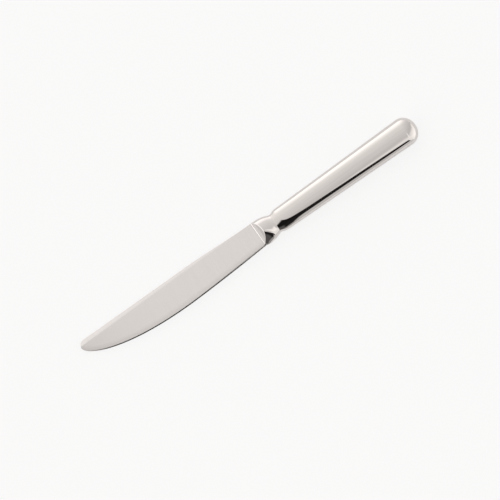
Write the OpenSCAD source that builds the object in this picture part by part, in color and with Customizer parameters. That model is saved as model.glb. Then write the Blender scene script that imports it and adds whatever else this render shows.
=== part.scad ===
// Salad knife with a hollow handle.
// One forging holds the blade, the bolster and the tang. Two pressed half shells make the handle.
// They are brazed along the narrow edges, and cement locks the tang inside them.
// The knife lies on its side: X runs from the tip to the butt, Y towards the spine, Z up.
// The modules are drawn from the joint, where the bolster meets the handle on the handle's axis.

/* [Blade] */
// Length from the tip to the plunge line in front of the bolster
blade_len = 110; // [90:1:130]
// Width at the deepest point of the belly
blade_w = 17.5; // [16.4:0.1:20]
// Height of the straight spine above the handle's axis
spine_rise = 8.5; // [8:0.1:9.4]
// Height of the spine above the handle's axis at the plunge line
heel_rise = 7.4; // [6.8:0.1:7.9]
// Depth of the cutting edge below the handle's axis at the plunge line
heel_drop = 6.7; // [6.2:0.1:7.2]
// Length over which the spine falls from its straight part to the heel
spine_fall_len = 36; // [20:1:60]
// Length of the level spine between that fall and the plunge line
heel_level_len = 3.5; // [1:0.5:10]
// Distance from the tip to the deepest point of the belly
belly_len = 59; // [40:1:75]
// Radius of the nose on the spine side
nose_r = 3.4; // [2:0.1:5]
// Thickness of the spine at the plunge line
heel_t = 2.4; // [2:0.1:3]
// Thickness of the spine at the tip
tip_t = 1.6; // [1.3:0.1:2]
// Thickness behind the cutting bevel, measured at the plunge line
land_t = 1; // [0.8:0.1:1.3]
// Thickness of the blunt cutting edge
edge_t = 0.16; // [0.1:0.02:0.24]
// Angle of each cutting bevel to the blade's middle plane
bevel_angle = 32; // [18:1:40]
// Width of the relief along the spine, measured at the tip
relief_w = 2.2; // [1.4:0.1:3]
// Width that the relief would have at the plunge line, if the spine ran straight on
relief_end_w = 1; // [0.6:0.1:1.4]
// Extra slope of the spine relief over the blade's face
relief_angle = 8; // [3:1:12]

/* [Bolster] */
// Length from the plunge line to the joint with the handle
bolster_len = 10.5; // [9:0.5:16]
// Thickness of the bolster where it is fullest
bolster_t = 8.5; // [7.8:0.1:10]
// Depth of the bolster below the handle's axis where it is fullest
bolster_drop = 7.2; // [6.8:0.1:8]
// Length over which the bolster's lower side comes in again to the heel
heel_round = 2.5; // [1.5:0.1:4]
// Distance from the waist in which the bolster gains most of its width
bolster_run = 3.6; // [2.5:0.1:4.5]
// Distance from the waist in which the bolster gains most of its thickness
bolster_t_run = 5.5; // [4:0.1:7]
// Height of the bolster's thickest line above the handle's axis at the plunge line
crown_rise = 0.8; // [0:0.1:2]
// Fullness of the bolster towards the edge at the plunge line: 1 is a flat wedge, 2 is an ellipse
wedge_fullness = 1.12; // [1.04:0.02:1.8]
// Slope of the plunge faces against the blade
plunge_angle = 45; // [35:1:60]
// Width of the waist at the joint
waist_w = 10.8; // [10:0.1:12]
// Thickness of the waist at the joint
waist_t = 7; // [6.6:0.1:7.6]

/* [Handle] */
// Length from the joint to the butt
handle_len = 89.5; // [75:0.5:110]
// Width that the handle's even taper would have at the joint
shoulder_w = 12.7; // [12.2:0.1:14]
// Thickness that the handle's even taper would have at the joint
shoulder_t = 8.5; // [8:0.1:9.6]
// Distance from the waist in which the shoulder gains most of its width
shoulder_run = 2.2; // [1.5:0.1:3.5]
// Distance from the waist in which the shoulder gains most of its thickness
shoulder_t_run = 3.5; // [2:0.1:4.5]
// Greatest width, in front of the butt's round end
butt_w = 15.5; // [14.2:0.1:17]
// Greatest thickness, in front of the butt's round end
butt_t = 11.2; // [10:0.1:13]
// Length of the butt's round end
cap_len = 7; // [5:0.1:10]
// Fullness of the oval section: 2 is an ellipse, and more is squarer
fullness = 2.3; // [2:0.05:3]
// Wall of the pressed shells
wall = 0.8; // [0.5:0.1:1.2]
// Depth of the closed mouth that the tang passes through
mouth_len = 2; // [1.5:0.1:3]
// Thickness of the braze between the shells
seam_t = 0.15; // [0.1:0.01:0.3]

/* [Tang] */
// Length of the tang behind the joint
tang_len = 48; // [30:1:60]
// Diameter of the round root that fills the handle's mouth
root_d = 4.8; // [4.6:0.1:5]
// Radial clearance of the root in the mouth
root_gap = 0.1; // [0.05:0.01:0.2]
// Width of the tang behind its root
tang_w = 4; // [3.4:0.1:4.2]
// Width of the tang at its end
tang_end_w = 2.6; // [2:0.1:3.2]
// Thickness of the tang
tang_t = 2.4; // [2:0.1:2.6]
// Notches along each edge of the tang, which the cement grips
notch_count = 4; // [2:1:6]
// Depth of a notch
notch_depth = 0.5; // [0.2:0.1:0.7]
// Cement beyond the end of the tang
cement_cover = 5; // [2:0.5:12]

/* [Hidden] */

// Points round each oval section, and rings along each curved stretch
section_points = 48;
shoulder_rings = 12;
cap_rings = 10;
bolster_rings = 13;
// Turn of the butt's last ring, just short of the point where the round end would close
cap_turn = 88;
// Points along each curved stretch of the blade's outline
curve_points = 22;
nose_points = 7;
// Shape of the belly: how it leaves its deepest point, and how it closes round the nose
belly_start_power = 2.2;
belly_end_power = 1.7;
heel_run_power = 1.5;
// Shape of each swell from the waist: 1 starts in a corner, and 2 starts level
bolster_power = 1.5;
bolster_t_power = 2;
shoulder_power = 2;
shoulder_t_power = 1;
// Runs of a shoulder after which only the even taper is left
shoulder_runs = 5;
// Small overshoot of a cutting block past the face that it cuts
past = 1;

plunge_x = -bolster_len;
tip_x = plunge_x - blade_len;
belly_x = tip_x + belly_len;
belly_drop = blade_w - spine_rise;
cap_x = handle_len - cap_len;
shoulder_reach = shoulder_runs * max(shoulder_run, shoulder_t_run);
// How far the blade's root and the bolster's front run into each other
root_lead = heel_t / 2;

// The origin is under the middle of the box round the knife, on the surface that it lies on.
centre_x = -(tip_x + handle_len) / 2;
centre_y = (belly_drop - spine_rise) / 2;
centre_z = max(butt_t, bolster_t) / 2;

// Slopes of the ground faces: across the blade from edge to spine, and along it from tip to heel.
grind_across = (heel_t - land_t) / 2 / (spine_rise + heel_drop);
grind_along = (heel_t - tip_t) / 2 / blade_len;

// Eases from 0 to 1 with level ends.
function ease(u) = let (v = min(max(u, 0), 1)) v * v * (3 - 2 * v);

// Raises a value to a power and keeps its sign.
function signed_power(v, p) = sign(v) * pow(abs(v), p);

// Share of a swell at x: 0 at the waist, two thirds after one run, and 1 far away on either side.
function swelling(x, run, power) = 1 - exp(-pow(abs(x) / run, power));

// Half the handle's size across the axis at x: it swells at the shoulder, tapers up to the butt
// and closes in a quarter of an ellipse. inset is the wall that is left outside.
function handle_half(x, waist, shoulder, butt, share, inset) =
    let (
        body = shoulder + (butt - shoulder) * min(x, cap_x) / cap_x,
        reach = max(x - cap_x, 0) / (cap_len - inset)
    )
    ((waist + (body - waist) * share) / 2 - inset) * sqrt(max(1 - reach * reach, 0));
function handle_half_w(x, inset = 0) =
    handle_half(x, waist_w, shoulder_w, butt_w, swelling(x, shoulder_run, shoulder_power), inset);
function handle_half_t(x, inset = 0) =
    handle_half(x, waist_t, shoulder_t, butt_t, swelling(x, shoulder_t_run, shoulder_t_power), inset);

// One ring of points at x. Its spine side and its edge side are quarters of two superellipses,
// which meet on the thickest line at the height of crown.
function ring(x, top, bottom, half_t, crown = 0, edge_fullness = fullness) = [
    for (i = [0:section_points - 1])
        let (
            turn = 360 * i / section_points,
            to_spine = cos(turn) > 0,
            reach = to_spine ? top - crown : crown - bottom,
            power = 2 / (to_spine ? fullness : edge_fullness)
        )
        [x, crown + reach * signed_power(cos(turn), power), half_t * signed_power(sin(turn), power)]
];
function handle_ring(x, inset) =
    let (half_w = handle_half_w(x, inset)) ring(x, half_w, -half_w, handle_half_t(x, inset));

// Places of the handle's rings from start to the end of the cap, inside a wall of inset.
function handle_stations(start, inset) = concat(
    [for (i = [0:shoulder_rings - 1]) start + (shoulder_reach - start) * pow(i / (shoulder_rings - 1), 2)],
    [for (i = [0:cap_rings - 1]) cap_x + (cap_len - inset) * sin(cap_turn * i / (cap_rings - 1))]
);

// Skin over rings that all have the same number of points, closed by a flat cap at each end.
module loft(rings) {
    count = len(rings[0]);
    last = (len(rings) - 1) * count;
    sides = [
        for (r = [0:len(rings) - 2], i = [0:count - 1])
            let (a = r * count + i, b = r * count + (i + 1) % count)
            each [[a, a + count, b], [b, a + count, b + count]]
    ];
    ends = [
        [for (i = [0:count - 1]) i],
        [for (i = [count - 1:-1:0]) last + i]
    ];
    polyhedron(points = [for (ring = rings) each ring], faces = concat(ends, sides));
}

// The solid handle, or with an inset the hollow inside its wall, from start to finish.
module handle_body(inset = 0, start = 0, finish = handle_len) {
    loft([
        for (x = handle_stations(start, inset))
            if (x < finish) handle_ring(x, inset),
        if (finish < cap_x) handle_ring(finish, inset)
    ]);
}

// Flat view of the handle or of its hollow, for the braze in the seam.
module handle_plan(inset = 0, start = 0) {
    stations = handle_stations(start, inset);
    polygon(concat(
        [for (x = stations) [x, -handle_half_w(x, inset)]],
        [for (i = [len(stations) - 1:-1:0]) [stations[i], handle_half_w(stations[i], inset)]]
    ));
}

// A round bar along the axis: the tang's root, or with a gap the hole that it fills.
module root_bar(gap = 0, start = 0, finish = mouth_len) {
    translate([start, 0, 0]) rotate([0, 90, 0])
        cylinder(d = root_d + 2 * gap, h = finish - start, $fn = 64);
}

// Height of the spine over the handle's axis at x.
function spine_y(x) =
    heel_rise + (spine_rise - heel_rise) * ease((plunge_x - heel_level_len - x) / spine_fall_len);

// Points of the cutting edge from the bolster to the deepest point of the belly, raised by lift.
function heel_run(lift) = [
    [plunge_x + root_lead, root_lead - heel_drop + lift],
    for (i = [0:nose_points])
        let (u = 1 - i / nose_points)
        [
            belly_x + (plunge_x - belly_x) * u,
            -belly_drop + (belly_drop - heel_drop) * pow(u, heel_run_power) + lift
        ]
];

// Points of the cutting edge from the belly round to the foremost point of the nose, where lift runs out.
function belly_run(lift) = [
    for (i = [1:curve_points])
        let (
            turn = 90 * i / curve_points,
            rise = 1 - pow(1 - pow(sin(turn), belly_start_power), 1 / belly_end_power)
        )
        [
            belly_x - belly_len * sin(turn),
            -belly_drop + (belly_drop + spine_rise - nose_r) * rise + lift * cos(turn)
        ]
];

// Points round the nose and along the spine, which ends in a root inside the bolster.
function spine_run() = [
    for (i = [1:nose_points])
        let (turn = 180 - 90 * i / nose_points)
        [tip_x + nose_r * (1 + cos(turn)), spine_rise - nose_r * (1 - sin(turn))],
    for (i = [0:curve_points])
        let (x = plunge_x - heel_level_len - spine_fall_len * (1 - i / curve_points))
        [x, spine_y(x)],
    [plunge_x, heel_rise],
    [plunge_x + root_lead, heel_rise - root_lead]
];

// Everything above a plane that passes through place, tilted across and along the blade.
module above_plane(place, across, along) {
    size = 2 * blade_len;
    turn_y = -atan(along);
    turn_x = atan(across * cos(turn_y));
    translate(place) rotate([turn_x, turn_y, 0])
        translate([-size, -size, 0]) cube([2 * size, 2 * size, size]);
}

// A cut and its mirror image on the other face of the blade.
module both_faces() {
    children();
    mirror([0, 0, 1]) children();
}

// What the grinding wheels take off the blade's upper face: the wedge, and the relief at the spine.
module face_grind() {
    above_plane([plunge_x, spine_rise, heel_t / 2], grind_across, grind_along);
    // The relief starts on the ground face, and runs out where the spine falls to the heel.
    drift = (relief_w - relief_end_w) / blade_len;
    steep = tan(relief_angle);
    above_plane(
        [plunge_x, spine_rise - relief_end_w, heel_t / 2 - grind_across * relief_end_w],
        grind_across - steep,
        grind_along + steep * drift
    );
}

// One ring of the blade's blank at the height z, with its edge raised by lift.
function blank_ring(z, lift) = [
    for (place = concat(heel_run(lift), belly_run(lift), spine_run())) [place[0], place[1], z]
];

// The blade: a blank with a bevelled edge, ground on both faces to a wedge.
module ground_blade() {
    bevel_run = (heel_t - edge_t) / 2 / tan(bevel_angle);
    difference() {
        loft([
            blank_ring(heel_t / 2, bevel_run),
            blank_ring(edge_t / 2, 0),
            blank_ring(-edge_t / 2, 0),
            blank_ring(-heel_t / 2, bevel_run)
        ]);
        both_faces() face_grind();
    }
}

// One ring of the bolster at x. It swells from the oval waist to the heel's width, and its edge side
// turns from an oval into a wedge that runs out into the cutting edge.
function bolster_ring(x) =
    let (
        wide = swelling(x, bolster_run, bolster_power),
        thick = swelling(x, bolster_t_run, bolster_t_power),
        lean = ease(x / plunge_x),
        drop = heel_drop + (bolster_drop - heel_drop) * ease((x - plunge_x) / heel_round)
    )
    ring(
        x,
        waist_w / 2 + (heel_rise - waist_w / 2) * wide,
        -waist_w / 2 - (drop - waist_w / 2) * wide,
        (waist_t + (bolster_t - waist_t) * thick) / 2,
        crown_rise * lean,
        fullness + (wedge_fullness - fullness) * lean
    );

// The bolster: a loft from the waist to the heel, with sloping plunge faces.
module bolster() {
    difference() {
        loft([
            for (i = [0:bolster_rings - 1])
                bolster_ring((plunge_x - root_lead) * (1 - i / (bolster_rings - 1)))
        ]);
        both_faces() above_plane([plunge_x, spine_rise, heel_t / 2], grind_across, tan(plunge_angle));
    }
}

// The tang: a round root, then a flat bar that tapers to its end and is notched along both edges.
module tang() {
    bar_len = tang_len - mouth_len;
    pitch = bar_len / (notch_count + 1);
    root_bar();
    difference() {
        translate([0, 0, -tang_t / 2]) linear_extrude(tang_t) polygon([
            [mouth_len - past, -tang_w / 2],
            [tang_len, -tang_end_w / 2],
            [tang_len, tang_end_w / 2],
            [mouth_len - past, tang_w / 2]
        ]);
        for (i = [1:notch_count], side = [-1, 1]) {
            x = mouth_len + pitch * i;
            half = (tang_w + (tang_end_w - tang_w) * (x - mouth_len) / bar_len) / 2;
            translate([x, side * half, -tang_t]) cylinder(r = notch_depth, h = 2 * tang_t, $fn = 32);
        }
    }
}

// Puts a module that is drawn from the joint into the part's frame.
module placed() {
    translate([centre_x, centre_y, centre_z]) children();
}

module blade() {
    color("gainsboro") placed() {
        ground_blade();
        bolster();
        tang();
    }
}

// Half of the hollow handle on one side of the seam, with half of the mouth's hole.
module handle_shell() {
    difference() {
        handle_body();
        handle_body(inset = wall, start = mouth_len);
        root_bar(gap = root_gap, start = -past, finish = mouth_len + past);
        translate([-past, -butt_w, seam_t / 2 - butt_t]) cube([handle_len + 2 * past, 2 * butt_w, butt_t]);
    }
}

module handle_shell_upper() {
    color("silver") placed() handle_shell();
}

module handle_shell_lower() {
    color("silver") placed() mirror([0, 0, 1]) handle_shell();
}

module handle_seam_braze() {
    color("lightgoldenrodyellow") placed() difference() {
        linear_extrude(seam_t, center = true) difference() {
            handle_plan();
            handle_plan(inset = wall, start = mouth_len);
        }
        root_bar(gap = root_gap, start = -past, finish = mouth_len + past);
    }
}

module handle_cement() {
    color("dimgray") placed() difference() {
        handle_body(inset = wall, start = mouth_len, finish = tang_len + cement_cover);
        tang();
    }
}

blade();
handle_shell_upper();
handle_shell_lower();
handle_seam_braze();
handle_cement();
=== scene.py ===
import math

import bmesh
import bpy
import numpy as np
from mathutils import Matrix, Vector


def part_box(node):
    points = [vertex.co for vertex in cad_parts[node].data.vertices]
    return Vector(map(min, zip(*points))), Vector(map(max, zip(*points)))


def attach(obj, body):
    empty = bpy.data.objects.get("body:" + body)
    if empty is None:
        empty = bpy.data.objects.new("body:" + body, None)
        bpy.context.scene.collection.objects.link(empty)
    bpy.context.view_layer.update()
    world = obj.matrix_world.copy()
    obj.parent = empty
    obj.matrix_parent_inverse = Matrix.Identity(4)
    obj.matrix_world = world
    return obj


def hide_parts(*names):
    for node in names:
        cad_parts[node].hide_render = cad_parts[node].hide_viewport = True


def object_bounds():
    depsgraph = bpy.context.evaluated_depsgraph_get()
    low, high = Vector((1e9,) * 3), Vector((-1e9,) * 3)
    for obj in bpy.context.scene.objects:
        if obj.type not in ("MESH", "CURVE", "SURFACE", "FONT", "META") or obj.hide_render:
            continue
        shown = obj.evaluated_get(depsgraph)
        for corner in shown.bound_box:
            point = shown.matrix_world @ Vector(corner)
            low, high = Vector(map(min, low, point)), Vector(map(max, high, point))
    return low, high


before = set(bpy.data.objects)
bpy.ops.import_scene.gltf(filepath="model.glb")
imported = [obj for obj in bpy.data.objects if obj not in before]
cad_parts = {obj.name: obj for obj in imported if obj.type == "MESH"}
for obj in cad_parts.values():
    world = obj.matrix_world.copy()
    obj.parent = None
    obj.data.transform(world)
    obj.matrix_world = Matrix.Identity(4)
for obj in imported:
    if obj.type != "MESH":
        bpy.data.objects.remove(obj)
cad_low, cad_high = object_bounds()

# The forging: blade and bolster in one piece of stainless steel, drop-forged, ground to a thin
# wedge that keeps a satin of fine lines across it, and buffed bright at the bolster. Its tang holds
# it in the handle. Lengths are in millimetres from the joint, where bolster and handle meet.
MM = 0.001
shell_low, shell_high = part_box("handle_shell_upper")
joint = np.array([
    shell_low.x,
    (shell_low.y + shell_high.y) / 2,
    (cad_low.z + cad_high.z) / 2,
])

blade_len, belly_len, bolster_len = 110.0, 59.0, 10.5
blade_w, spine_rise, heel_rise, heel_drop = 17.5, 8.5, 7.4, 6.7
spine_fall_len, heel_level_len, nose_r = 36.0, 3.5, 3.4
belly_sweep, belly_fullness, heel_sweep = 2.2, 1.7, 1.5
heel_t, tip_t, land_t, edge_t = 2.4, 1.6, 1.0, 0.16
bevel_slope, bevel_limit = math.tan(math.radians(32)), 0.99
relief_w, relief_end_w, relief_slope = 2.2, 1.0, math.tan(math.radians(8))
bolster_t, bolster_drop, heel_round = 8.5, 7.2, 2.5
bolster_run, bolster_power = 3.6, 1.5
bolster_t_run, bolster_t_power = 5.5, 2
crown_rise, wedge_fullness = 0.8, 1.12
plunge_slope, plunge_crown = math.tan(math.radians(45)), 0.008
waist_w, waist_t = 10.8, 7.0
fullness, roundness = 2.3, 2
spine_round, spine_squareness = 0.15, 4
edge_round, edge_squareness = 0.03, 3
plunge_fillet, least_fillet = 0.5, 0.02
ridge_fillet, relief_fillet, bevel_fillet = 0.3, 0.05, 0.35
joint_round = 0.06

plunge_x = -bolster_len
tip_x = plunge_x - blade_len
belly_x = tip_x + belly_len
belly_drop = blade_w - spine_rise
nose_y = spine_rise - nose_r
grind_across = (heel_t - land_t) / 2 / (spine_rise + heel_drop)
grind_along = (heel_t - tip_t) / 2 / blade_len


def ease(u):
    """Rises from 0 to 1 and is level at both ends: 3u^2 - 2u^3."""
    u = np.clip(u, 0, 1)
    return u * u * (3 - 2 * u)


def swelling(x, run, power):
    """Share of a swell at x: 0 at the waist, two thirds after one run, and 1 far away on each side.

    It is 1 less e to the power of minus (distance / run) ^ power.
    """
    return 1 - np.exp(-((np.abs(x) / run) ** power))


def lower_of(a, b, fillet):
    """The lower of two heights, with a parabola as wide as the fillet where they cross."""
    near = np.maximum(fillet - np.abs(a - b), 0) / fillet
    return np.minimum(a, b) - near * near * fillet / 4


def rounded(distance, radius, power):
    """Share of the full height at a distance in from a rim, along a superellipse.

    It is 0 on the rim and 1 from the radius on.
    """
    return (1 - (1 - np.clip(distance / radius, 0, 1)) ** power) ** (1 / power)


def oval_height(share, power):
    """Height of a superellipse of half size 1 at a share of its half width."""
    return (1 - np.clip(np.abs(share), 0, 1) ** power) ** (1 / power)


def spine_line(x):
    """Spine above the axis: a quarter circle round the nose, a level run, and an eased fall.

    The heel behind the fall is level again.
    """
    before = np.clip(nose_r - (x - tip_x), 0, nose_r)
    fall = ease((x - plunge_x + heel_level_len) / spine_fall_len + 1)
    return nose_y + np.sqrt(nose_r**2 - before**2) - (spine_rise - heel_rise) * fall


def edge_line(x):
    """Cutting edge below the axis: a superellipse up to the nose, and a low power up to the heel.

    Both start at the belly, which is the lowest place.
    """
    to_nose = np.clip((belly_x - x) / belly_len, 0, 1)
    to_heel = np.clip((x - belly_x) / (plunge_x - belly_x), 0, 1)
    belly = 1 - (1 - to_nose**belly_sweep) ** (1 / belly_fullness)
    heel = (belly_drop - heel_drop) * to_heel**heel_sweep
    return -belly_drop + (belly_drop + nose_y) * belly + heel


def lean_of(line, x):
    """How much longer an outline is than its run along x: the root of 1 + slope^2."""
    step = 0.01
    return np.hypot(1, (line(x + step) - line(x)) / step)


def forging_rings(x, share):
    """Rings of the forging at each x. y runs from the edge at share 0 to the spine at share 1.

    The blade's height is the lowest of its ground plane, the spine relief and the cutting bevel,
    closed round both rims. The bolster's is the lower of a swelling section and the sloping plunge
    plane. The section is an oval on its spine side, and turns into a wedge on its edge side. The
    higher of blade and bolster makes the surface.
    """
    x = x[:, None]
    wide = swelling(x, bolster_run, bolster_power)
    turned = ease(x / plunge_x)
    drop = heel_drop + (bolster_drop - heel_drop) * ease((x - plunge_x) / heel_round)
    bolster_top = waist_w / 2 + (heel_rise - waist_w / 2) * wide
    bolster_bottom = -waist_w / 2 - (drop - waist_w / 2) * wide
    top = np.where(x < plunge_x, spine_line(x), bolster_top)
    bottom = np.where(x < plunge_x, edge_line(x), bolster_bottom)
    y = bottom + (top - bottom) * share

    face = heel_t / 2 + grind_across * (y - spine_rise) + grind_along * (x - plunge_x)
    relief_taper = (relief_w - relief_end_w) / blade_len
    relief_y = spine_rise - relief_end_w + relief_taper * (x - plunge_x)
    relief = face + relief_slope * (relief_y - y)
    bevel_end = np.sqrt(1 - np.clip((belly_x - x) / belly_len, 0, bevel_limit) ** 2)
    bevel = edge_t / 2 + bevel_slope * (y - bottom) / bevel_end
    blade = lower_of(lower_of(face, relief, relief_fillet), bevel, bevel_fillet)
    blade = blade * rounded((top - y) / lean_of(spine_line, x), spine_round, spine_squareness)
    blade = blade * rounded((y - bottom) / lean_of(edge_line, x), edge_round, edge_squareness)
    blade = blade - np.maximum(x - plunge_x, 0)

    plunge = face + plunge_slope * (x - plunge_x) - plunge_crown * (x - plunge_x) ** 2
    half_t = (waist_t + (bolster_t - waist_t) * swelling(x, bolster_t_run, bolster_t_power)) / 2
    crown = crown_rise * turned
    edge_fullness = fullness + (wedge_fullness - fullness) * turned
    spine_side = oval_height((y - crown) / (top - crown), fullness)
    edge_side = oval_height((crown - y) / (crown - bottom), edge_fullness)
    section = half_t * np.where(y > crown, spine_side, edge_side)
    section = section - joint_round * (1 - rounded(-x, joint_round, roundness))
    bolster = lower_of(section, plunge, ridge_fillet)
    fillet = plunge_fillet * np.clip(np.maximum(blade, bolster), least_fillet, 1)
    height = np.maximum(-lower_of(-blade, -bolster, fillet), 0)
    height[:, [0, -1]] = 0

    upper = np.stack([x + 0 * y, y, height], -1)
    lower = upper[:, -2:0:-1] * [1, 1, -1]
    return np.concatenate([upper, lower], 1)


def skin(name, rings, from_edge=None):
    """A closed mesh over rings of points: rows by columns by 3, in millimetres from the joint.

    Each point is joined to the next in its ring and in the next ring. A ring that shrinks to a
    point or to a line closes that end, because points that fall together are merged. from_edge is
    kept with each point.
    """
    merge_gap, sliver = 1e-7, 1e-8
    crease = math.radians(40)
    rows, columns = rings.shape[:2]
    here = np.arange(rows * columns).reshape(rows, columns)
    after = np.roll(here, -1, 1)
    quads = np.stack([here[:-1], here[1:], after[1:], after[:-1]], -1).reshape(-1, 4)
    mesh = bpy.data.meshes.new(name)
    mesh.from_pydata((rings.reshape(-1, 3) * MM + joint).tolist(), [], quads.tolist())
    if from_edge is not None:
        kept = mesh.attributes.new("from_edge", "FLOAT", "POINT")
        kept.data.foreach_set("value", from_edge.ravel())
    work = bmesh.new()
    work.from_mesh(mesh)
    bmesh.ops.remove_doubles(work, verts=work.verts, dist=merge_gap)
    bmesh.ops.dissolve_degenerate(work, dist=sliver, edges=work.edges)
    work.to_mesh(mesh)
    work.free()
    mesh.polygons.foreach_set("use_smooth", np.ones(len(mesh.polygons), bool))
    mesh.set_sharp_from_angle(angle=crease)
    piece = bpy.data.objects.new(name, mesh)
    bpy.context.scene.collection.objects.link(piece)
    return piece


def point_ring(x, y, columns):
    """A ring whose points all lie on one point, which closes an end."""
    return np.broadcast_to([x, y, 0.0], (1, columns, 3))


# Rings stand close together round the nose, over the plunge and at the joint, and the points of
# each ring gather at both rims.
nose_len, nose_turn = 6.0, 0.03
plunge_lead, neck_x, joint_lead = 1.5, -5.0, 0.15
nose_rows, blade_rows, plunge_rows, neck_rows, joint_rows = 44, 84, 140, 38, 9
edge_columns, face_columns, spine_columns = 26, 70, 30
edge_band, edge_gather = 0.075, 1.5
spine_band, spine_gather = 0.1, 1.6
blade_x = np.concatenate([
    tip_x + nose_len * (1 - np.cos(np.linspace(nose_turn, math.pi / 2, nose_rows))),
    np.linspace(tip_x + nose_len, plunge_x - plunge_lead, blade_rows)[1:-1],
    np.linspace(plunge_x - plunge_lead, neck_x, plunge_rows)[:-1],
    np.linspace(neck_x, -joint_lead, neck_rows)[:-1],
    -joint_lead + joint_lead * np.sin(np.linspace(0, math.pi / 2, joint_rows)),
])
blade_share = np.concatenate([
    edge_band * np.linspace(0, 1, edge_columns) ** edge_gather,
    np.linspace(edge_band, 1 - spine_band, face_columns)[1:-1],
    1 - spine_band * np.linspace(1, 0, spine_columns) ** spine_gather,
])
forging = forging_rings(blade_x, blade_share)
forging = np.concatenate([
    point_ring(tip_x, nose_y, forging.shape[1]),
    forging,
    point_ring(0, 0, forging.shape[1]),
])
edge_y = np.where(forging[..., 0] < plunge_x, edge_line(forging[..., 0]), -heel_drop)
forged_blade = skin("forged_blade", forging, forging[..., 1] - edge_y)


class Wire:
    """One output in a node tree. Sums, differences and products of wires and numbers add nodes."""

    def __init__(self, tree, output=None):
        self.tree = tree
        self.output = output

    def node(self, kind, settings=None, sockets=None, output=0):
        """Adds a node, sets its settings, sets or links its sockets, and wraps one output."""
        made = self.tree.nodes.new(kind)
        for name, value in (settings or {}).items():
            setattr(made, name, value)
        for name, value in (sockets or {}).items():
            if isinstance(value, Wire):
                self.tree.links.new(value.output, made.inputs[name])
            else:
                made.inputs[name].default_value = value
        return Wire(self.tree, made.outputs[output] if made.outputs else None)

    def math(self, operation, *values):
        """Adds a Math node on the values."""
        return self.node("ShaderNodeMath", {"operation": operation}, dict(enumerate(values)))

    def at_least(self, low):
        """The wire, or low where it is under low."""
        return self.math("MAXIMUM", self, low)

    def at_most(self, high):
        """The wire, or high where it is over high."""
        return self.math("MINIMUM", self, high)

    def step(self, low, high):
        """Rises smoothly from 0 at low to 1 at high."""
        return self.node(
            "ShaderNodeMapRange",
            {"interpolation_type": "SMOOTHSTEP"},
            {"Value": self, "From Min": low, "From Max": high},
        )

    def fall(self, low, high):
        """Falls smoothly from 1 at low to 0 at high."""
        return 1 - self.step(low, high)

    def toward(self, other, share):
        """Goes from the wire at share 0 to the other at share 1."""
        return self + share * (other - self)

    def __add__(self, other):
        return self.math("ADD", self, other)

    def __radd__(self, other):
        return self.math("ADD", other, self)

    def __sub__(self, other):
        return self.math("SUBTRACT", self, other)

    def __rsub__(self, other):
        return self.math("SUBTRACT", other, self)

    def __mul__(self, other):
        return self.math("MULTIPLY", self, other)

    def __rmul__(self, other):
        return self.math("MULTIPLY", other, self)


def empty_tree(owner):
    """Clears the node tree of a material or world and gives a wire to start from."""
    owner.use_nodes = True
    owner.node_tree.nodes.clear()
    return Wire(owner.node_tree)


def grain(tree, place, stretch, detail):
    """Noise whose grains are 1 / stretch metres long along each axis."""
    spread = tree.node("ShaderNodeMapping", None, {"Vector": place, "Scale": stretch})
    return tree.node(
        "ShaderNodeTexNoise",
        None,
        {"Vector": spread, "Scale": 1.0, "Detail": detail},
    )


def blend(tree, dark, bright, share):
    """A colour from dark at share 0 to bright at share 1.

    Sockets of a Mix node share their names, so those for colours go by number.
    """
    dark_socket, bright_socket, colour_output = 6, 7, 2
    return tree.node(
        "ShaderNodeMix",
        {"data_type": "RGBA"},
        {"Factor": share, dark_socket: (*dark, 1), bright_socket: (*bright, 1)},
        colour_output,
    )


def steel(name, bright, dark, finish):
    """Bare steel from dark to bright. finish takes the tree and the place on the piece.

    It gives the share of bright, the roughness and the height of the scratches.
    """
    scratch_strength, scratch_depth = 0.2, 1e-6
    material = bpy.data.materials.new(name)
    tree = empty_tree(material)
    place = tree.node("ShaderNodeTexCoord", None, None, "Object")
    tint, roughness, scratches = finish(tree, place)
    relief = tree.node(
        "ShaderNodeBump",
        None,
        {"Strength": scratch_strength, "Distance": scratch_depth, "Height": scratches},
    )
    surface = tree.node(
        "ShaderNodeBsdfPrincipled",
        None,
        {
            "Base Color": blend(tree, dark, bright, tint),
            "Metallic": 1.0,
            "Roughness": roughness,
            "Normal": relief,
        },
    )
    tree.node("ShaderNodeOutputMaterial", None, {"Surface": surface})
    return material


def ground_and_buffed(tree, place):
    """Satin lines across the blade, and a bright bolster with faint marks behind the plunge line.

    Towards the cutting edge the base colour is darkened, a painted shade that stands in for the
    dark reflection along the edge's bevel.
    """
    buff_start, buff_full = plunge_x - 0.6, plunge_x - 0.2
    # Painted shade along the cutting edge: full within the first distance from the edge, in
    # millimetres, and gone beyond the second.
    edge_shade_full, edge_shade_end = 0.6, 4.0
    along = tree.node("ShaderNodeSeparateXYZ", None, {"Vector": place})
    buffed = along.step(joint[0] + buff_start * MM, joint[0] + buff_full * MM)
    from_edge = tree.node("ShaderNodeAttribute", {"attribute_name": "from_edge"}, None, "Fac")
    painted_edge_shade = from_edge.fall(edge_shade_full, edge_shade_end)

    lines = grain(tree, place, (9000, 300, 300), 4.0)
    strokes = grain(tree, place, (2600, 60, 60), 3.0)
    bands = grain(tree, place, (300, 40, 40), 2.0)
    satin = 0.115 + 0.05 * (lines - 0.5) + 0.06 * (strokes - 0.5) + 0.02 * (bands - 0.5)
    roughness = satin.toward(0.02 + 0.02 * bands, buffed)
    tint = 0.85 + 0.4 * (lines - 0.5) + 0.4 * (strokes - 0.5) + 0.15 * (bands - 0.5)
    # The base colour is darkened towards the cutting edge: painted shade for the dark reflection on
    # the edge's bevel.
    tint = (tint - 0.5 * painted_edge_shade).toward(0.2 * bands, buffed)
    return tint, roughness, lines * (1 - 0.9 * buffed)


blade_bright, blade_dark = (0.98, 0.957, 0.945), (0.77, 0.745, 0.73)
blade_steel = steel("ground_blade_steel", blade_bright, blade_dark, ground_and_buffed)
forged_blade.data.materials.append(blade_steel)
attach(forged_blade, "root")
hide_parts("blade")

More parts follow.
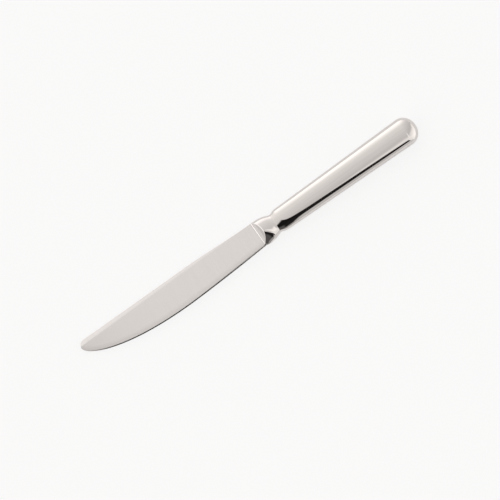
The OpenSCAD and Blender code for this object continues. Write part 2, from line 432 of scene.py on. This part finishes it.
# The tang: the rear end of the forging, left as it comes from the hammer. A round root fills the
# handle's mouth, and a flat bar behind it tapers away, with notches for the cement to grip.
tang_len, mouth_len, root_r = 48.0, 2.0, 2.4
tang_w, tang_end_w, tang_t, tang_squareness = 4.0, 2.6, 2.4, 12
notch_count, notch_depth = 4, 0.5
tang_gap = 0.001
tang_rows, tang_columns = 186, 21


def tang_rings(x, share):
    """Rings of the tang: a circle along the root, then a squared oval that tapers to the end.

    Each notch takes a half circle out of both of the bar's narrow sides.
    """
    x = x[:, None]
    bar_len = tang_len - mouth_len
    along = np.clip((x - mouth_len) / bar_len, 0, 1)
    notch_at = mouth_len + bar_len / (notch_count + 1) * np.arange(1, notch_count + 1)
    bite = np.sqrt(np.maximum(notch_depth**2 - (x - notch_at) ** 2, 0)).max(1, keepdims=True)
    bar = x > mouth_len
    half_w = np.where(bar, (tang_w + (tang_end_w - tang_w) * along) / 2 - bite, root_r)
    half_t = np.where(bar, tang_t / 2, root_r)
    square, circle = oval_height(share, tang_squareness), oval_height(share, roundness)
    height = half_t * np.where(bar, square, circle)
    upper = np.stack([x + 0 * height, half_w * share + 0 * height, height], -1)
    return np.concatenate([upper, upper[:, -2:0:-1] * [1, 1, -1]], 1)


tang_x = np.concatenate([
    [tang_gap, mouth_len],
    np.linspace(mouth_len + tang_gap, tang_len, tang_rows),
])
rings = tang_rings(tang_x, np.sin(np.linspace(-math.pi / 2, math.pi / 2, tang_columns)))
rings = np.concatenate([
    point_ring(tang_gap, 0, rings.shape[1]),
    rings,
    point_ring(tang_len, 0, rings.shape[1]),
])
tang = skin("blade_tang", rings)


def hammered(tree, place):
    """Dull scale with soft hammer marks."""
    marks = grain(tree, place, (600, 600, 600), 5.0)
    return marks, 0.4 + 0.25 * marks, marks


scale_bright, scale_dark = (0.42, 0.40, 0.38), (0.32, 0.30, 0.28)
tang_scale = steel("tang_scale", scale_bright, scale_dark, hammered)
tang.data.materials.append(tang_scale)
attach(tang, "root")
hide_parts("blade")

# The handle: two half shells pressed from thin stainless sheet, brazed along the narrow edges and
# buffed to a mirror. The buff leaves hairlines along the handle. The mouth closes round the tang.
handle_len, wall, seam_t, hole_r = 89.5, 0.8, 0.15, 2.5
shoulder_w, shoulder_t, shoulder_reach = 12.7, 8.5, 17.5
shoulder_run, shoulder_power = 2.2, 2
shoulder_t_run, shoulder_t_power = 3.5, 1
butt_w, butt_t, cap_len = 15.5, 11.2, 7.0
cap_x = handle_len - cap_len
shoulder_rows, inner_shoulder_rows, body_rows, cap_rows = 46, 44, 60, 46
shell_columns = 72


def handle_half(x, waist, shoulder, butt, share, inset):
    """Half the handle's size at x, inside a wall of inset.

    It swells by share from the waist to an even taper, and closes in a quarter of an ellipse.
    """
    body = shoulder + (butt - shoulder) * np.minimum(x, cap_x) / cap_x
    reach = np.clip((x - cap_x) / (cap_len - inset), 0, 1)
    return ((waist + (body - waist) * share) / 2 - inset) * np.sqrt(1 - reach**2)


def handle_half_w(x, inset):
    """Half the handle's width, inside a wall of inset."""
    share = swelling(x, shoulder_run, shoulder_power)
    return handle_half(x, waist_w, shoulder_w, butt_w, share, inset)


def handle_half_t(x, inset):
    """Half the handle's thickness, inside a wall of inset."""
    share = swelling(x, shoulder_t_run, shoulder_t_power)
    return handle_half(x, waist_t, shoulder_t, butt_t, share, inset)


def handle_stations(start, inset, first_rows):
    """Places along the handle, close together at the waist and round the butt."""
    return np.concatenate([
        start + (shoulder_reach - start) * np.linspace(0, 1, first_rows) ** 2,
        np.linspace(shoulder_reach, cap_x, body_rows)[1:-1],
        cap_x + (cap_len - inset) * np.sin(np.linspace(0, math.pi / 2, cap_rows)),
    ])


def half_oval(x, half_w, half_t, power):
    """Half rings over the seam's upper face, from the edge's side over the top to the spine's side.

    Each is half a superellipse: sine and cosine of its turn, to the power of 2 / power.
    """
    turn = np.linspace(math.pi, 0, shell_columns)
    side = np.sign(np.cos(turn)) * np.abs(np.cos(turn)) ** (2 / power)
    rise = np.abs(np.sin(turn)) ** (2 / power)
    y = half_w[:, None] * side
    z = seam_t / 2 + np.maximum(half_t - seam_t / 2, 0)[:, None] * rise
    return np.stack([x[:, None] + 0 * y, y, z], -1)


def shell_rings():
    """Rings of a half shell: its outside from edge to spine, then its inside back again.

    The first rings fold the outside over the front face and through the half hole of the mouth. The
    last ring shrinks to the butt's middle.
    """
    outer_x = handle_stations(0, 0, shoulder_rows)
    chamfer = joint_round * (1 - rounded(outer_x, joint_round, roundness))
    outer_w = handle_half_w(outer_x, 0) - chamfer
    outer_t = handle_half_t(outer_x, 0) - chamfer
    outside = half_oval(outer_x, outer_w, outer_t, fullness)
    inner_x = handle_stations(mouth_len, wall, inner_shoulder_rows)
    inner_w = handle_half_w(inner_x, wall)
    inner_t = handle_half_t(inner_x, wall)
    inside = half_oval(inner_x, inner_w, inner_t, fullness)
    hole_x = np.array([0, 0, mouth_len])
    hole = half_oval(hole_x, 0 * hole_x + hole_r, 0 * hole_x + hole_r, roundness)
    outside = np.concatenate([hole[:1], outside])
    inside = np.concatenate([hole, inside])
    return np.concatenate([outside, inside[:, ::-1]], 1)


def mirror_buffed(tree, place):
    """A bright buff with hairlines along the handle and the faint cloudiness of handling."""
    hairs = grain(tree, place, (70, 5200, 5200), 4.0)
    streaks = grain(tree, place, (25, 1500, 1500), 3.0)
    clouds = grain(tree, place, (90, 220, 220), 3.0)
    tint = 0.6 + (streaks - 0.5) + 0.4 * (clouds - 0.5) + 0.3 * (hairs - 0.5)
    roughness = 0.005 + 0.03 * hairs + 0.02 * streaks + 0.01 * clouds
    return tint, roughness, hairs


handle_bright, handle_dark = (0.82, 0.795, 0.777), (0.73, 0.706, 0.689)
handle_steel = steel("buffed_handle_steel", handle_bright, handle_dark, mirror_buffed)
upper_rings = shell_rings()
lower_rings = upper_rings[:, ::-1] * [1, 1, -1]
for side, rings in (("upper", upper_rings), ("lower", lower_rings)):
    shell = skin("shell_" + side, rings)
    shell.data.materials.append(handle_steel)
    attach(shell, "root")
    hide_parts("handle_shell_" + side)

# The braze: the thread of metal melted into the seam between the half shells, filed flush and
# buffed with them. Only its edge shows, as a hairline round the handle's narrow sides and butt.


def braze_rings():
    """Rings of the flat strip, one at each station: two corners outside and two inside.

    The stations run down the spine's side of the seam, round the butt and back up the edge's side.
    The first and the last ring shrink to a line at the mouth.
    """
    outer_x = handle_stations(0, 0, shoulder_rows)
    inner_x = handle_stations(mouth_len, wall, shoulder_rows)
    outer = np.stack([outer_x, handle_half_w(outer_x, 0)], -1)
    inner = np.stack([inner_x, handle_half_w(inner_x, wall)], -1)
    front = np.array([[0, hole_r], [mouth_len, hole_r]])
    outer = np.concatenate([front[:1], outer[:1], outer])
    inner = np.concatenate([front[:1], front[1:], inner])
    flip = np.array([1, -1])
    outer = np.concatenate([outer, outer[-2::-1] * flip])
    inner = np.concatenate([inner, inner[-2::-1] * flip])
    corners = np.stack([outer, inner, inner, outer], 1)
    z = np.broadcast_to(np.array([1, 1, -1, -1]) * seam_t / 2, corners.shape[:2])
    return np.concatenate([corners, z[..., None]], -1)


def filed(tree, place):
    """Flush filed metal with short file marks across the seam."""
    marks = grain(tree, place, (3000, 3000, 400), 3.0)
    return marks, 0.12 + 0.12 * marks, marks


braze = skin("seam_braze", braze_rings())
braze_bright, braze_dark = (0.72, 0.70, 0.65), (0.66, 0.64, 0.58)
braze_metal = steel("filed_braze", braze_bright, braze_dark, filed)
braze.data.materials.append(braze_metal)
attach(braze, "root")
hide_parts("handle_seam_braze")

# The cement: a dark setting compound, poured into the front of the hollow handle, where it sets
# round the tang and locks the blade. It is never seen, so its solid only gets this material.
cement_bright, cement_dark = (0.42, 0.41, 0.38), (0.22, 0.21, 0.20)
grit_strength, grit_depth = 0.6, 1e-4
cement = bpy.data.materials.new("setting_cement")
tree = empty_tree(cement)
place = tree.node("ShaderNodeTexCoord", None, None, "Object")
grit = grain(tree, place, (1500, 1500, 1500), 6.0)
shade = blend(tree, cement_dark, cement_bright, grit)
rough = tree.node(
    "ShaderNodeBump",
    None,
    {"Strength": grit_strength, "Distance": grit_depth, "Height": grit},
)
surface = tree.node(
    "ShaderNodeBsdfPrincipled",
    None,
    {"Base Color": shade, "Roughness": 0.85 + 0.1 * grit, "Normal": rough},
)
tree.node("ShaderNodeOutputMaterial", None, {"Surface": surface})
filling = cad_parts["handle_cement"]
filling.data.materials.clear()
filling.data.materials.append(cement)

# The table and the studio: the knife rests on its bolster and its butt, on a white top. A pale tent
# lights it, brightest beyond the spine, with one dark opening beyond the edge and the tip.
# The top runs through the butt's lowest place, and leans until it touches the forging.
table_reach = 3.0
table_slope = ((forging[..., 2] + butt_t / 2) / (cap_x - forging[..., 0])).min()
table_normal = Vector((table_slope, 0, 1)).normalized()
table_point = Vector(joint + MM * np.array([cap_x, 0, -butt_t / 2]))
across = Vector((0, 1, 0))
along = across.cross(table_normal)
corners = [
    table_point + table_reach * (a * along + b * across)
    for a, b in ((-1, -1), (1, -1), (1, 1), (-1, 1))
]
mesh = bpy.data.meshes.new("table_top")
mesh.from_pydata(corners, [], [(0, 1, 2, 3)])
table_top = bpy.data.objects.new("table_top", mesh)
bpy.context.scene.collection.objects.link(table_top)

top_colour = (0.97, 0.97, 0.97, 1)
seen_white, mirrored_white = 0.8, 0.15
white_top = bpy.data.materials.new("white_table_top")
tree = empty_tree(white_top)
seen = tree.node("ShaderNodeLightPath", None, None, "Is Camera Ray")
glossy = tree.node("ShaderNodeLightPath", None, None, "Is Glossy Ray")
through = tree.node("ShaderNodeLightPath", None, None, "Is Transmission Ray")
white_share = seen_white * seen + mirrored_white * glossy.at_least(through)
matt = tree.node("ShaderNodeBsdfDiffuse", None, {"Color": top_colour})
glow = tree.node("ShaderNodeEmission", None, {"Color": (1, 1, 1, 1), "Strength": 1.0})
surface = tree.node("ShaderNodeMixShader", None, {0: white_share, 1: matt, 2: glow})
tree.node("ShaderNodeOutputMaterial", None, {"Surface": surface})
table_top.data.materials.append(white_top)

studio = bpy.data.worlds.new("studio")
bpy.context.scene.world = studio
tree = empty_tree(studio)
direction = tree.node("ShaderNodeTexCoord", None, None, "Generated")
to_butt = tree.node("ShaderNodeSeparateXYZ", None, {"Vector": direction}, "X")
to_spine = tree.node("ShaderNodeSeparateXYZ", None, {"Vector": direction}, "Y")
upward = tree.node("ShaderNodeSeparateXYZ", None, {"Vector": direction}, "Z")

# Grey overhead, lighter towards the spine and darker towards the butt. A glow stands low beyond
# the spine.
tent = 0.74 + 0.30 * to_spine - 0.18 * to_butt.at_least(-0.15)
tent = tent + 0.36 * to_spine.step(0.58, 1.0) * to_butt.step(-0.35, -0.15)

# A wall beyond the edge and the butt, which brightens towards both.
butt_wall = to_spine - 0.48 * to_butt - 0.2 * to_butt.step(0.9, 1.0)
butt_side = to_butt.at_least(0.0)
butt_wall_tone = 0.50 + 0.55 * butt_side * butt_side - 0.72 * to_spine.at_least(-0.6)
tent = tent.toward(butt_wall_tone, butt_wall.fall(-0.57, -0.33))

# A bright wall beyond the tip, with a dim foot.
tip_wall_tone, tip_foot_tone = 1.4, 0.66
tip_wall = to_butt.fall(-0.6, -0.4) * to_spine.step(-0.25, -0.1) * to_spine.fall(0.45, 0.7)
tip_foot = to_butt.fall(-0.95, -0.8) * upward.fall(0.15, 0.35)
tent = tent.toward(tip_wall_tone, tip_wall).toward(tip_foot_tone, tip_foot)

# A narrow white panel, a little towards the butt, that reaches from overhead down towards the edge.
panel_tone, panel_share = 1.2, 0.8
panel = to_butt.step(0.07, 0.12) * to_butt.fall(0.13, 0.21)
panel = panel * to_spine.fall(-0.27, -0.02) * to_spine.step(-0.75, -0.45)
tent = tent.toward(panel_tone, panel_share * panel)

# The dark opening beyond the edge and the tip. A little light leaks in low beyond the edge.
opening_depth, leak_share = 0.985, 0.085
opening = (
    (to_butt + 0.205 * to_spine).fall(-0.107, -0.097)
    * (to_butt + 0.43 * to_spine).fall(-0.19, -0.18)
    * (to_spine - 0.8 * to_butt).fall(0.039, 0.18)
    * to_butt.step(-0.9, -0.6)
    * upward.step(0.0, 0.1)
)
leak = to_butt.fall(-0.27, -0.15) * to_spine.fall(-0.65, -0.5)
tent = tent * (1 - opening * (opening_depth - leak_share * leak))

# The tent's skirt, low beyond the edge. It reaches higher and is lighter across from the handle.
beside_handle = to_butt.step(-0.045, -0.015)
skirt_top = -0.905 + beside_handle * (0.085 - 2.0 * to_butt.at_most(0.04))
skirt_tone = 0.33 + 0.27 * beside_handle + 0.08 * to_butt.step(0.03, 0.08)
tent = tent.toward(skirt_tone, (to_spine - skirt_top).fall(-0.02, 0.0))

tent_colour = (1.02, 0.985, 0.96, 1)
sky = tree.node("ShaderNodeBackground", None, {"Color": tent_colour, "Strength": tent})
tree.node("ShaderNodeOutputWorld", None, {"Surface": sky})

# The camera: straight above the table on a long lens, turned so that the knife runs up to the
# right. The span is the width of table, in metres, that fills the picture.
photo_span = 0.26138
camera_height = 1.0
camera_turn = math.radians(35.32)
aim = Vector((-0.00324, -0.00345, joint[2]))
right = Vector((math.cos(camera_turn), -math.sin(camera_turn), 0))
right = (right - right.dot(table_normal) * table_normal).normalized()
camera = bpy.data.objects.new("camera", bpy.data.cameras.new("camera"))
camera.data.lens = camera.data.sensor_width * camera_height / photo_span
turn = Matrix((right, table_normal.cross(right), table_normal)).transposed()
camera.matrix_world = Matrix.Translation(aim + camera_height * table_normal) @ turn.to_4x4()
bpy.context.scene.collection.objects.link(camera)
bpy.context.scene.camera = camera
bpy.context.scene.view_settings.view_transform = "Standard"
